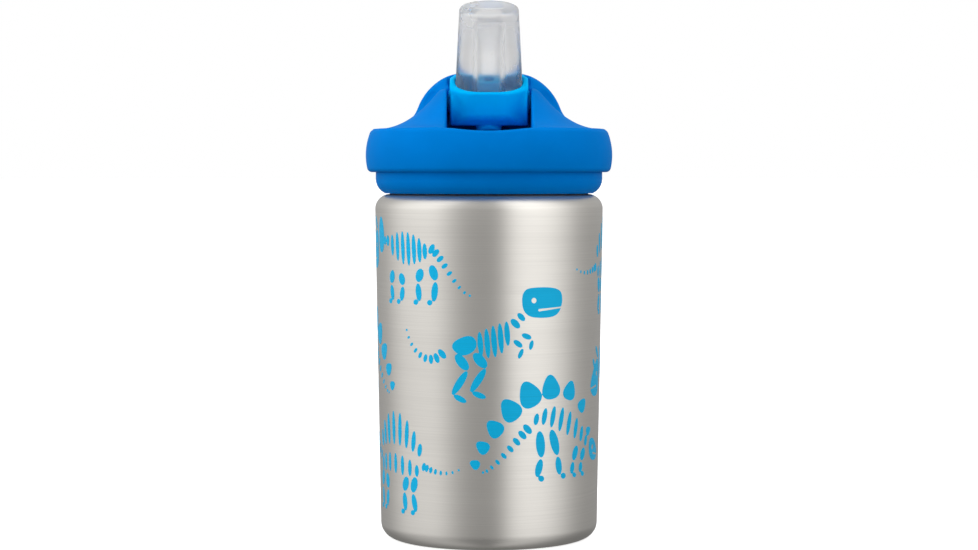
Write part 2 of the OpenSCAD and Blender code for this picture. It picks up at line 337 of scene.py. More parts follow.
def brushed_steel(name, color, roughness, brush=1.0, anisotropy=0.75):
    """Steel brushed round the axis: long fine lines, which blur reflections up and down."""
    mat, shader, node, link = material(name, color, roughness, metallic=1.0)
    lines = stretched_noise(node, 60, (0.35, 0.35, 60), detail=4)
    broad = stretched_noise(node, 22, (0.5, 0.5, 5), detail=3, seed=3)
    link(ranged(node, lines, roughness - 0.05, roughness + 0.06), "Roughness")
    tint = mixed(node, ranged(node, broad, 0.0, 1.0), shaded(color, 0.955), shaded(color, 1.03))
    link(mixed(node, ranged(node, lines, 0.0, 0.5 * brush), tint, shaded(color, 0.86)), "Base Color")
    bump = node("ShaderNodeBump", {"Height": lines, "Strength": 0.08 * brush, "Distance": 0.0001})
    link(bump.outputs["Normal"], "Normal")
    shader.inputs["Anisotropic"].default_value = anisotropy
    shader.inputs["Anisotropic Rotation"].default_value = 0.25
    tangent = node("ShaderNodeTangent", direction_type="RADIAL", axis="Z")
    link(tangent.outputs["Tangent"], "Tangent")
    return mat


def moulded_plastic(name, color, roughness, shine, grain=0.06):
    """Satin polypropylene: deep colour, a tinted shine, a fine grain and soft unevenness from the mould."""
    mat, shader, node, link = material(name, color, roughness, ior=1.05)
    fine = stretched_noise(node, 2600, (1, 1, 1), detail=2)
    soft = stretched_noise(node, 70, (1, 1, 1), detail=2, seed=5)
    link(ranged(node, soft, roughness - 0.04, roughness + 0.05), "Roughness")
    tint = mixed(node, ranged(node, soft, 0.0, 1.0), shaded(color, 0.95), shaded(color, 1.05))
    link(tint, "Base Color")
    waves = node("ShaderNodeBump", {"Height": soft, "Strength": 0.05, "Distance": 0.0008})
    bump = node("ShaderNodeBump", {"Height": fine, "Strength": grain, "Distance": 0.00005,
                                   "Normal": waves.outputs["Normal"]})
    link(bump.outputs["Normal"], "Normal")
    shader.inputs["Specular Tint"].default_value = (*shine, 1)
    shader.inputs["Subsurface Weight"].default_value = 0.08
    shader.inputs["Subsurface Radius"].default_value = (0.2, 0.5, 1.0)
    shader.inputs["Subsurface Scale"].default_value = 0.0015
    return mat


def silicone(name, color, roughness, transmission, tip=None, smoke=0.0):
    """Clear silicone with a faint cloudiness. smoke, its absorption per metre, darkens it where it is thick.
    With tip, the transmission changes to that towards the valve's solid tip."""
    mat, shader, node, link = material(name, color, roughness, ior=1.41)
    cloud = stretched_noise(node, 160, (1, 1, 0.5), detail=3)
    link(ranged(node, cloud, roughness - 0.05, roughness + 0.06), "Roughness")
    bump = node("ShaderNodeBump", {"Height": cloud, "Strength": 0.02, "Distance": 0.0003})
    link(bump.outputs["Normal"], "Normal")
    shader.inputs["Transmission Weight"].default_value = transmission
    if smoke:
        depth = node("ShaderNodeVolumeAbsorption", {"Color": (0, 0, 0, 1), "Density": smoke})
        mat.node_tree.links.new(depth.outputs[0], mat.node_tree.nodes["Material Output"].inputs["Volume"])
    if tip is not None:
        up = node("ShaderNodeSeparateXYZ", {0: node("ShaderNodeTexCoord").outputs["Object"]}).outputs["Z"]
        low, high = (PIVOT[2] + 15) * MM, (PIVOT[2] + 31) * MM
        inputs = {"Value": up, "From Min": low, "From Max": high, "To Min": transmission, "To Max": tip}
        link(node("ShaderNodeMapRange", inputs).outputs["Result"], "Transmission Weight")
    return mat


def print_ink(name, color):
    """Translucent ink over the brushed steel: it keeps some of the metal's shine and its lines."""
    mat, shader, node, link = material(name, color, 0.38, metallic=0.2)
    shader.inputs["Specular IOR Level"].default_value = 0.2
    lines = stretched_noise(node, 60, (0.35, 0.35, 60), detail=4)
    link(ranged(node, lines, 0.34, 0.46), "Roughness")
    link(mixed(node, ranged(node, lines, 0.0, 1.0), color, shaded(color, 0.88)), "Base Color")
    return mat


STEEL = brushed_steel("steel_outer", (0.86, 0.832, 0.782), 0.34, anisotropy=0.6)
LINER = brushed_steel("steel_inner", (0.78, 0.78, 0.77), 0.28, brush=0.5, anisotropy=0.4)
BLUE = moulded_plastic("lid_blue", (0.0, 0.175, 0.58), 0.42, (0.02, 0.5, 1.0))
# The spout's blue is a lighter copy of the lid's blue. The extra brightness is painted light, standing for
# the brighter light that falls on the collar.
SPOUT_PAINTED_LIT_BLUE = moulded_plastic("spout_painted_lit_blue", (0.0, 0.45, 0.93), 0.38, (0.02, 0.55, 1.0))
CLEAR = silicone("silicone_clear", (1.0, 0.995, 0.985), 0.24, 0.94, tip=0.6, smoke=9)
WHITE_RUBBER = silicone("silicone_white", (0.82, 0.84, 0.85), 0.45, 0.3)
STRAW = silicone("straw_clear", (0.9, 0.93, 0.94), 0.16, 0.9)
SOLDER = brushed_steel("solder", (0.5, 0.5, 0.5), 0.45, brush=0.3, anisotropy=0.0)
INK = print_ink("ink_cyan", (0.0, 0.46, 0.8))


def finish_piece(obj, body, slot, mat, *nodes):
    """Gives a piece its material and its body, and hides the CAD nodes that it stands for. slot is not used.
    """
    obj.data.materials.clear()
    obj.data.materials.append(mat)
    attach(obj, body)
    if nodes:
        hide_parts(*nodes)
    return obj


# ---------------------------------------------------------------- steel bottle


def shell_radius(z):
    """Outer radius of the tapered wall."""
    low, high = BASE_CORNER, Z_SHOULDER - SHOULDER_R
    return R_BASE + (R_TOP - R_BASE) * np.clip((z - low) / (high - low), 0, 1)


def outer_shell():
    t = SHELL_T
    foot, shoulder = (R_BASE - BASE_CORNER, BASE_CORNER), (R_TOP - SHOULDER_R, Z_SHOULDER - SHOULDER_R)
    root = (R_NECK + 0.5, Z_SHOULDER + 0.45)
    wall = [(shell_radius(z), z) for z in np.linspace(BASE_CORNER + 5, shoulder[1] - 5, 12)]
    inner = [(r - t, z) for r, z in reversed(wall)]
    profile = (
        [(BASE_HOLE_R, 0)] + arc(foot, BASE_CORNER, -90, 0) + wall + arc(shoulder, SHOULDER_R, 0, 80)
        + arc(root, 0.5, -90, -180, 6) + arc((R_NECK - 0.3, Z_NECK - 0.3), 0.3, 0, 90, 4)
        + [(R_NECK - t, Z_NECK), (R_NECK - t, Z_SHOULDER - t)]
        + arc(shoulder, SHOULDER_R - t, 90, 0) + inner + arc(foot, BASE_CORNER - t, 0, -90)
        + arc((BASE_HOLE_R + t / 2, t / 2), t / 2, 90, 270, 6)[:-1])
    parts = join([lathe(profile), thread(R_NECK, 1, Z_THREAD, NECK_TURN)])
    finish_piece(add_mesh("steel_shell", *parts), "bottle", "steel_outer", STEEL, "outer_shell")


def plain_nodes():
    """CAD nodes whose shape is right keep their mesh and take a finished material."""
    looks = {
        "inner_liner": LINER, "base_disc": STEEL, "vacuum_seal": SOLDER, "getter_capsule": SOLDER,
        "lid_gasket": WHITE_RUBBER, "port_seal": WHITE_RUBBER, "vent_valve": WHITE_RUBBER, "straw": STRAW}
    for name, mat in looks.items():
        obj = frame["nodes"][name]
        obj.data.materials.clear()
        obj.data.materials.append(mat)
        obj.data.polygons.foreach_set("use_smooth", [True] * len(obj.data.polygons))
        obj.data.set_sharp_from_angle(angle=math.radians(30))


# ---------------------------------------------------------------- printed skeletons

INK_CELL = 0.35  # grid of the drawings
INK_SUNK, INK_PROUD = 0.05, 0.04  # how far the ink's film goes below and above the steel


def leaf(a, b, width):
    """A slim oval bone from a to b."""
    half = math.dist(a, b) / 2
    ux, uy = (b[0] - a[0]) / (2 * half), (b[1] - a[1]) / (2 * half)
    cx, cy = (a[0] + b[0]) / 2, (a[1] + b[1]) / 2

    def field(x, y):
        along, across = (x - cx) * ux + (y - cy) * uy, (y - cy) * ux - (x - cx) * uy
        return (np.hypot(along / half, 2 * across / width) - 1) * width / 2
    return field


def club(a, b, width_a, width_b):
    """A line with round ends, width_a thick at a and width_b at b: an eye socket or a jaw."""
    def field(x, y):
        dx, dy = b[0] - a[0], b[1] - a[1]
        t = np.clip(((x - a[0]) * dx + (y - a[1]) * dy) / (dx * dx + dy * dy), 0, 1)
        return np.hypot(x - a[0] - t * dx, y - a[1] - t * dy) - (width_a + (width_b - width_a) * t) / 2
    return field


def outline(points, rounding=0.5):
    """A filled outline through a smooth closed curve near the points, grown by the rounding."""
    points = np.array(points, float)
    for _ in range(3):
        ahead = np.roll(points, -1, axis=0)
        points = np.stack([0.75 * points + 0.25 * ahead, 0.25 * points + 0.75 * ahead], axis=1).reshape(-1, 2)

    def field(x, y):
        best, odd = np.full(np.broadcast(x, y).shape, 1e9), np.zeros(np.broadcast(x, y).shape, bool)
        for (ax, ay), (bx, by) in zip(points, np.roll(points, -1, axis=0)):
            dx, dy = bx - ax, by - ay
            t = np.clip(((x - ax) * dx + (y - ay) * dy) / (dx * dx + dy * dy), 0, 1)
            best = np.minimum(best, np.hypot(x - ax - t * dx, y - ay - t * dy))
            if dy:
                odd ^= ((ay > y) != (by > y)) & (x < ax + (y - ay) / dy * dx)
        return np.where(odd, -best, best) - rounding
    return field


def spine(points, count):
    """Evenly numbered places on a smooth curve through the points, with its direction at each."""
    points = np.array(points, float)
    knots = np.arange(len(points))
    fit = [np.polyfit(knots, points[:, i], min(3, len(points) - 1)) for i in (0, 1)]
    t = np.linspace(0, len(points) - 1, count)
    place = np.stack([np.polyval(f, t) for f in fit], axis=1)
    way = np.stack([np.polyval(np.polyder(f), t) for f in fit], axis=1)
    return place, way / np.linalg.norm(way, axis=1, keepdims=True)


def vertebrae(points, count, first, last):
    """A tail or a neck: short bones across the spine, from first to last in length."""
    place, way = spine(points, count)
    made = []
    for i, (p, d) in enumerate(zip(place, way)):
        size = first + (last - first) * i / (count - 1)
        across = np.array([-d[1], d[0]]) * size / 2
        made.append(leaf(p - across, p + across, max(0.55 * size, 0.8)))
    return made


def ribs(points, lengths, width, lean=0.0, rise=0.15):
    """Ribs of the given lengths, at even steps along the spine. lean slants their lower ends."""
    count = len(lengths)
    place, _ = spine(points, count)
    return [leaf(p + (0, rise * n), p + (lean * n, -(1 - rise) * n), width) for p, n in zip(place, lengths)]


def leg(hip, knee, heel, toe, width):
    """Thigh, shin and foot, with gaps at the joints."""
    gap = 0.55
    shin = np.array(heel, float) - knee
    top = np.array(knee) + shin / np.linalg.norm(shin) * gap
    foot = np.array(toe, float) - heel
    ball = np.array(heel) + foot / np.linalg.norm(foot) * gap
    return [leaf(hip, knee, width * 1.3), leaf(top, heel, width), leaf(ball, toe, width * 0.75)]


def skull(points, eye, mouth, rounding=0.6):
    """A skull's outline with a round eye socket and a jaw line, both left open."""
    bone = outline(points, rounding)
    socket = club(eye, (eye[0] + 0.01, eye[1]), 1.7, 1.7)
    jaw = club(*mouth, 0.75, 0.35)
    return [lambda x, y: np.maximum(bone(x, y), -np.minimum(socket(x, y), jaw(x, y)))]


def hunter():
    """A two-legged skeleton, striding to the right. Its hip is at (0, 0) and it is 34 mm high."""
    return (
        vertebrae([(-22, 6.0), (-18.8, 0.4), (-13.6, -2.6), (-8.2, -0.9)], 9, 0.9, 3.6)
        + [outline([(-5.6, 2.0), (1.6, 5.2), (3.2, 1.2), (-1.4, -1.4)], 0.5)]
        + ribs([(4.0, 5.0), (8.2, 6.6), (12.4, 8.2)], [7.6, 9.2, 9.8, 9.4, 7.6], 1.75, lean=0.08)
        + vertebrae([(15.3, 8.6), (17.2, 10.6)], 2, 3.8, 3.2)
        + skull([(18.2, 11.2), (17.6, 18.2), (21.0, 19.4), (30.6, 19.0), (31.8, 15.6), (30.2, 11.2),
                 (25.0, 10.4)], (21.4, 15.6), ((23.2, 12.6), (33.0, 13.4)), 0.4)
        + leg((-3.6, -1.0), (0.4, -5.6), (-4.8, -13.4), (-0.2, -15.6), 2.4)
        + leg((2.2, -0.6), (6.2, -4.8), (1.2, -12.4), (6.0, -14.2), 2.4)
        + [leaf((14.8, 3.4), (17.6, 1.4), 1.7), leaf((17.8, 0.8), (16.4, -2.2), 1.4),
           leaf((17.4, 5.2), (20.6, 4.0), 1.7), leaf((21.0, 3.4), (20.2, 0.4), 1.4)])


def horned():
    """A four-legged skeleton with a neck frill and horns, walking to the right, 24 mm high."""
    hoops = [5.0, 7.6, 9.4, 10.6, 10.4, 9.0, 6.6]
    return (
        vertebrae([(-25, -9.6), (-20.6, -5.8), (-16.4, 0.2), (-12.4, 4.6)], 9, 0.8, 3.4)
        + ribs([(-9.8, 5.6), (-3, 8.2), (5.0, 7.8)], hoops, 1.7, lean=-0.04)
        + vertebrae([(7.8, 6.8), (9.8, 6.8)], 2, 3.4, 2.8)
        + [outline([(11.4, 3.2), (10.6, 9.4), (13.0, 15.2), (15.2, 11.0), (14.8, 3.4)], 0.3)]
        + skull([(17.0, 10.6), (21.4, 8.4), (25.8, 1.4), (23.2, -2.2), (17.6, -1.6), (16.6, 3.0)],
                (19.2, 5.2), ((19.8, 1.2), (26.4, 0.4)), 0.3)
        + [leaf((17.4, 10.4), (20.8, 14.4), 1.6), leaf((21.6, 7.0), (23.4, 10.4), 1.4)]
        + leg((-12.2, -0.4), (-13.8, -5.0), (-13.0, -11.6), (-10.6, -12.2), 2.3)
        + leg((-8.6, -1.6), (-7.0, -5.6), (-7.6, -11.6), (-5.2, -12.2), 2.3)
        + leg((0.6, -3.2), (-0.6, -6.8), (0.4, -11.8), (2.8, -12.2), 2.2)
        + leg((4.8, -2.4), (5.8, -6.4), (5.0, -11.8), (7.4, -12.2), 2.2))


def plated():
    """A four-legged skeleton with plates along its arched back, walking to the right, 32 mm high."""
    back, way = spine([(-23.6, -11.0), (-16.6, -3.2), (-6.0, 8.0), (6.0, 6.4), (15.8, -2.4)], 9)
    sizes = [3.0, 4.2, 5.6, 7.2, 8.2, 7.4, 5.8, 4.4, 2.8]
    plates = []
    for p, d, n in zip(back, way, sizes):
        up = np.array([-d[1], d[0]])
        sides = [(-0.34, 0.1), (0.34, 0.1), (0.5, 0.5), (0.0, 1.28), (-0.5, 0.5)]
        plates.append(outline([p + d * n * along + up * (1.0 + n * above) for along, above in sides], 0.2))
    return (
        plates
        + vertebrae([(-23.4, -12.6), (-19.4, -10.0), (-14.0, -4.6), (-9.0, 0.6)], 9, 0.9, 3.8)
        + ribs([(-5.6, 4.8), (2, 6.2), (10, 2.8), (16.8, -3.4)], [3.6, 5.2, 6.6, 7.4, 7.4, 6.4, 4.8, 3.4],
               1.8, lean=-0.2)
        + skull([(18.8, -4.6), (22.6, -4.2), (27.4, -9.0), (25.4, -11.6), (19.6, -10.8)], (22.0, -7.2),
                ((22.6, -9.2), (27.4, -10.0)), 0.2)
        + leg((-4.8, -0.2), (-4.0, -8.4), (-5.6, -14.4), (-3.0, -15.4), 2.5)
        + leg((-0.4, 0.0), (2.2, -8.0), (3.2, -14.2), (5.8, -15.0), 2.5)
        + leg((11.2, -5.8), (9.4, -10.2), (8.6, -14.4), (11.0, -15.2), 2.0)
        + leg((15.4, -6.8), (13.8, -10.6), (13.2, -14.4), (15.6, -15.2), 2.0))


def sail_backed():
    """A four-legged skeleton with a tall sail of spines, walking to the right, 28 mm high."""
    sail, _ = spine([(-12, 0.8), (-5, 3.2), (3, 3.6), (10, 2.4)], 8)
    heights = [4.2, 6.8, 9.2, 10.8, 11.0, 10.0, 8.0, 5.4]
    spikes = [leaf(p + (0, 1.2), p + (0.05 * (i - 3.5) * h, h + 1.2), 1.9)
              for i, (p, h) in enumerate(zip(sail, heights))]
    return (
        vertebrae([(-27, -1.6), (-22, -2.8), (-17.4, -2.2), (-14.0, -1.2)], 8, 0.8, 2.8)
        + spikes
        + ribs([(-11, -1.0), (-4, 1.4), (4, 1.8), (10.4, 0.0)], [3.8, 5.4, 6.4, 6.6, 6.2, 5.6, 4.4],
               1.75, rise=0.05)
        + vertebrae([(12.6, 0.6), (14.8, 1.8), (16.6, 3.6)], 3, 3.0, 2.4)
        + skull([(16.8, 1.0), (17.4, 6.8), (22.4, 7.6), (28.6, 3.6), (27.6, 0.8), (20.0, 0.2)], (20.8, 4.4),
                ((22.6, 2.8), (29.0, 2.4)), 0.2)
        + leg((-10.4, -4.8), (-9.0, -9.8), (-10.4, -16.0), (-8.0, -16.6), 2.3)
        + leg((-6.4, -5.0), (-4.8, -9.6), (-5.4, -16.0), (-3.0, -16.6), 2.3)
        + leg((6.6, -5.0), (5.8, -9.8), (6.8, -15.8), (9.2, -16.4), 2.2)
        + leg((10.4, -4.2), (11.2, -9.4), (10.6, -15.8), (13.0, -16.4), 2.2))


def inked(fields, turn, height, facing, scale=1.0):
    """The drawing as a thin closed film of ink, wrapped round the wall. Its origin is at that height, and at
    arc length turn from the front."""
    reach = 36 * scale
    grid = np.arange(-reach, reach, INK_CELL)
    x, y = grid[:, None] / scale * facing, grid[None, :] / scale
    values = np.full((len(grid), len(grid)), 1e9)
    for field in fields:
        values = np.minimum(values, field(x, y))
    inside = values < 0
    flat, numbers, faces = [], {}, []

    def vertex(key, place):
        if key not in numbers:
            numbers[key] = len(flat)
            flat.append(place)
        return numbers[key]

    whole = np.argwhere(inside[:-1, :-1] | inside[1:, :-1] | inside[1:, 1:] | inside[:-1, 1:])
    for i, j in whole.tolist():
        ring = [(i, j), (i + 1, j), (i + 1, j + 1), (i, j + 1)]
        face = []
        for a, b in zip(ring, ring[1:] + ring[:1]):
            if inside[a]:
                face.append(vertex(a, (grid[a[0]], grid[a[1]])))
            if inside[a] != inside[b]:
                low, high = min(a, b), max(a, b)
                t = values[low] / (values[low] - values[high])
                t = min(max(t, 0.02), 0.98)
                face.append(vertex((low, high), (grid[low[0]] + t * (high[0] - low[0]) * INK_CELL,
                                                 grid[low[1]] + t * (high[1] - low[1]) * INK_CELL)))
        faces.append(face)

    flat = np.array(flat)
    z = flat[:, 1] + height
    radius = shell_radius(z)
    angle = (flat[:, 0] + turn) / R_TOP
    layers = [np.stack([r * np.sin(angle), -r * np.cos(angle), z], axis=1)
              for r in (radius - INK_SUNK, radius + INK_PROUD)]
    edges = {(a, b) for face in faces for a, b in zip(face, face[1:] + face[:1])}
    top = len(flat)
    closed = [[v + top for v in face] for face in faces] + [face[::-1] for face in faces]
    closed += [[a, b, b + top, a + top] for a, b in edges if (b, a) not in edges]
    return np.concatenate(layers), closed


def prints():
    """The same few skeletons all round the body, at differing heights, some turned to the left."""
    hunters, horneds, plateds, sails = hunter(), horned(), plated(), sail_backed()
    places = [
        ("print_horned_front", horneds, -31.0, 89.0, -1, 1.0),
        ("print_hunter_front", hunters, -7.0, 62.2, 1, 1.0),
        ("print_plated_front", plateds, 21.5, 37.5, 1, 1.0),
        ("print_sail_front", sails, -36.0, 27.0, -1, 0.97),
        ("print_sail_right", sails, 57.0, 88.5, 1, 0.95),
        ("print_horned_right", horneds, 65.0, 48.5, -1, 0.95),
        ("print_plated_left", plateds, -62.0, 60.0, -1, 0.95),
        ("print_hunter_left", hunters, -94.0, 89.5, -1, 0.75),
        ("print_hunter_back", hunters, 106.0, 58.0, 1, 0.95),
        ("print_sail_back", sails, 87.0, 24.5, -1, 1.0),
        ("print_horned_back", horneds, 138.0, 31.0, 1, 0.9)]
    for name, drawing, turn, height, facing, scale in places:
        points, faces = inked(drawing, turn, height, facing, scale)
        finish_piece(add_mesh(name, points, faces), "bottle", "print_ink", INK)


# ---------------------------------------------------------------- lid


def bell(r):
    """Height of the lid's bell-shaped top, and its slope, at distance r from the axis."""
    t = np.clip((BELL_FOOT - r) / BELL_REACH, 0, 1)
    return Z_TOP + BELL_RISE * t**BELL_POWER, BELL_RISE * BELL_POWER / BELL_REACH * t ** (BELL_POWER - 1)


def cover_skin(x, y, z):
    """The rim band and the bell, as one solid."""
    r = np.hypot(x, y)
    middle = (Z_TOP + Z_RIM) / 2
    qr = r + RIM_CURVE * (z - RIM_BULGE) ** 2 - R_RIM + RIM_CORNER
    qz = np.abs(z - middle) - (Z_TOP - Z_RIM) / 2 + RIM_CORNER
    rim = np.hypot(np.maximum(qr, 0), np.maximum(qz, 0)) + np.minimum(np.maximum(qr, qz), 0) - RIM_CORNER
    height, slope = bell(r)
    cone = smax((z - height) / np.sqrt(1 + slope**2), z - Z_EAR, 1.6)
    cone = np.maximum(np.maximum(cone, Z_TOP - 6 - z), r - BELL_FOOT)
    return smin(rim, cone, 0.3)


def trough(x, y, z):
    """Clearance for the spout and the folded valve, between the ears."""
    width = np.abs(x) - TROUGH_HALF
    front = smax(smax(width, -R_RIM + 5.5 - y, 3.0), y, 0.5)
    well = np.hypot(y - PIVOT[1], z - PIVOT[2]) - WELL_R
    above = np.maximum(slab(y, -1, WELL_R), PIVOT[2] - z)
    room = smax(width, np.minimum(well, above), 0.5)
    return smax(np.minimum(front, room), Z_TROUGH - z, 1.2)


def rim_dip(x, y, z):
    """The shallow scoop in the front of the rim, where a thumb lifts the folded valve."""
    radius = 72.0
    scoop = np.hypot(x, z - (Z_TOP - 1.1 + radius)) - radius
    return np.maximum(scoop, y + R_RIM - 7)


def finger_room(x, y, z):
    """The passage under the carry loop, open to the back and to both sides."""
    fillet = 6.0
    return smax(BACK_WALL - y, Z_BACK - z, 2 * fillet) + 0 * x


def carry_loop(x, y, z):
    """The arch from the ears over the finger room to the back of the rim."""
    centre_y, centre_z, outer = 11.0, Z_TOP - 11, 30.0
    thick = 4.6 + 1.3 * np.maximum(BACK_WALL - y, 0)  # it deepens into the ears in front of the finger room
    ball = np.where(y < centre_y, np.abs(z - centre_z), np.hypot(y - centre_y, z - centre_z))
    arch = smax(ball - outer, outer - thick - ball, 1.8)
    front = (z - Z_EAR) * 0.66 - (y - 4.5) * 0.75  # it rises from the ears
    arch = smax(smax(arch, front, 3.0), 4.5 - y, 0.5)
    crown_r, power = 25.0, 2.3  # seen from the front it is a slightly squared circle
    crown = np.abs(x) ** power + np.abs(z - (Z_TOP + 20.5 - crown_r)) ** power
    arch = smax(arch, crown ** (1 / power) - crown_r, 2.2)
    arch = smax(arch, np.hypot(x, y) - R_RIM + 2.1, 2.2)
    return np.maximum(arch, Z_TOP - 1.5 - z)


def lid_cover_field(x, y, z):
    """The hollow cover with its hinge bosses, the ring that grips the cap, the loop and its holes."""
    r = np.hypot(x, y)
    outer = smax(cover_skin(x, y, z), -finger_room(x, y, z), 1.0)
    outer = smax(outer, -trough(x, y, z), 0.9)
    outer = smax(outer, -rim_dip(x, y, z), 0.8)
    hollow = outer + WALL
    hinge = np.hypot(y - PIVOT[1], z - PIVOT[2]) - TRUNNION_R
    boss = np.maximum(hinge - 2.2, slab(np.abs(x), TROUGH_HALF, 16.6))
    hollow = np.maximum(hollow, -boss)
    post = np.maximum(slab(r, R_SKIRT - WALL, R_SKIRT), Z_DECK + DECK_T - z)
    hollow = np.maximum(hollow, -post)
    cap_space = np.maximum(r - R_SKIRT - 0.2, z - Z_DECK - DECK_T)
    mouth = np.maximum(r - R_SKIRT - 0.5, slab(z, Z_RIM + 1.5, Z_DECK + DECK_T))
    solid = np.maximum(outer, -np.minimum(np.minimum(hollow, cap_space), mouth))
    solid = smin(solid, smax(carry_loop(x, y, z), -trough(x, y, z), 0.9), 2.4)
    bore = np.maximum(hinge - 0.1, np.abs(x) - 15.7)
    port = r - 3.6
    vent = np.maximum(np.hypot(x, y - 23) - 0.8, Z_TOP - 6 - z)
    for hole in (bore, np.maximum(port, z - Z_TOP - 1), vent):
        solid = smax(solid, -hole, 0.3)
    return solid


def lid_cover():
    parts = surface(lid_cover_field, (-R_RIM, -R_RIM, Z_RIM), (R_RIM, R_RIM, COVER_HIGH.z + 0.5))
    finish_piece(add_mesh("lid_shell", *parts, sharp=50), "lid", "lid_plastic", BLUE, "lid_cover")


def thread_cap():
    """The inner cap: skirt, deck with the port's ring, straw socket, plug and thread."""
    z_in = Z_RIM - 6.75
    corner = (R_SKIRT - SKIRT_CORNER, z_in + 4.6)
    plug = (26.5, 28.7)
    socket_r = STRAW_HIGH.x + 0.05
    profile = (
        [(R_ROOT, z_in + 0.3)] + arc((R_ROOT + 0.3, z_in + 0.3), 0.3, 180, 250, 4)
        + arc(corner, SKIRT_CORNER, -63, 0) + arc((R_SKIRT - 0.4, Z_DECK + DECK_T - 0.4), 0.4, 0, 90, 4)
        + [(7.2, Z_DECK + DECK_T), (7.2, Z_DECK + DECK_T + 2.8), (5.6, Z_DECK + DECK_T + 2.8),
           (5.6, Z_DECK + DECK_T), (2.2, Z_DECK + DECK_T), (2.2, STRAW_HIGH.z), (socket_r, STRAW_HIGH.z),
           (socket_r, STRAW_HIGH.z - 10), (6, STRAW_HIGH.z - 10), (6, Z_DECK), (plug[0], Z_DECK),
           (plug[0], Z_DECK - 5.3), (plug[1], Z_DECK - 5.3), (plug[1], Z_DECK), (R_ROOT, Z_DECK)])
    ridge = thread(R_ROOT, -1, Z_THREAD - PITCH * (0.5 - CAP_START / 360), CAP_TURN)
    turn = math.radians(CAP_START)
    cos, sin = math.cos(turn), math.sin(turn)
    rotation = np.array([[cos, -sin, 0], [sin, cos, 0], [0, 0, 1]])
    parts = join([lathe(profile), (ridge[0] @ rotation.T, ridge[1])])
    finish_piece(add_mesh("threaded_cap", *parts), "lid", "lid_plastic", BLUE, "thread_cap")


# ---------------------------------------------------------------- spout and bite valve


def to_spout(x, y, z):
    """Row coordinates as (u, v, w) of the open spout: u across, v to its back, w up along the valve."""
    dy, dz = y - PIVOT[1], z - PIVOT[2]
    return x, dy * math.cos(LEAN) + dz * math.sin(LEAN), dz * math.cos(LEAN) - dy * math.sin(LEAN)


def to_row(u, v, w):
    """The opposite of to_spout, as points."""
    y = PIVOT[1] + v * math.cos(LEAN) - w * math.sin(LEAN)
    z = PIVOT[2] + v * math.sin(LEAN) + w * math.cos(LEAN)
    return np.stack(np.broadcast_arrays(u, y, z), axis=-1)


def spout_field(x, y, z):
    """The collar with its cup and nipple, the hinge barrel and pins, and the foot over the port."""
    u, v, w = to_spout(x, y, z)
    half_u, half_v = 12.45, 9.4
    lip = 7.0 + 0.05 * v
    column = rounded_rect(u, v, half_u, half_v, 7.5)
    keel = (-w - 2.0) * 0.64 + (np.abs(v) - half_v) * 0.77
    block = smax(smax(column, w - lip, 1.0), smax(keel, -6.1 - w, 1.2), 1.0)
    barrel = np.maximum(np.hypot(v, w) - 7.6, np.abs(u) - half_u)
    block = smin(block, smax(barrel, np.abs(u) - half_u, 0.8), 0.8)
    foot = smax(np.hypot(x, y - PIVOT[1]) - 4, np.hypot(v, w) - 9.55, 0.5)
    foot = np.maximum(foot, z - PIVOT[2])
    block = smin(block, foot, 0.8)
    cup = smax(rounded_rect(u, v, 10.9, 8.3, 8.0), 1.8 - w, 1.0)
    block = smax(block, -cup, 0.7)
    nipple = smax(np.hypot(u, v) - 4.5, slab(w, 0, 8.4), 0.6)
    block = smin(block, nipple, 0.6)
    boss = np.maximum(np.hypot(v, w) - 3.6, np.abs(u) - half_u - 0.5)
    pin = smax(np.hypot(v, w) - TRUNNION_R, np.abs(u) - 15.4, 0.6)
    block = np.minimum(np.minimum(block, boss), pin)
    flow = np.maximum(np.hypot(u, v) - 2.4, -1 - w)
    port = np.maximum(np.hypot(x, y - PIVOT[1]) - 2.2, z - PIVOT[2])
    return smax(smax(block, -flow, 0.4), -port, 0.4)


def spout():
    low, high = box_mm("spout")
    parts = surface(spout_field, low, high, cell=CELL * 0.67)
    finish_piece(add_mesh("spout_collar", *parts, sharp=50), "spout", "lid_plastic", SPOUT_PAINTED_LIT_BLUE, "spout")


def loft(rings, first, last):
    """Points and faces of a closed skin through rings of equally many points, with a point at both ends."""
    count = len(rings[0])
    points = np.concatenate([[first]] + rings + [[last]])
    end = len(points) - 1
    faces = []
    for k in range(count):
        m = (k + 1) % count
        faces.append([0, 1 + m, 1 + k])
        for i in range(len(rings) - 1):
            a = 1 + i * count
            faces.append([a + k, a + m, a + count + m, a + count + k])
        faces.append([end - count + k, end - count + m, end])
    return points, faces


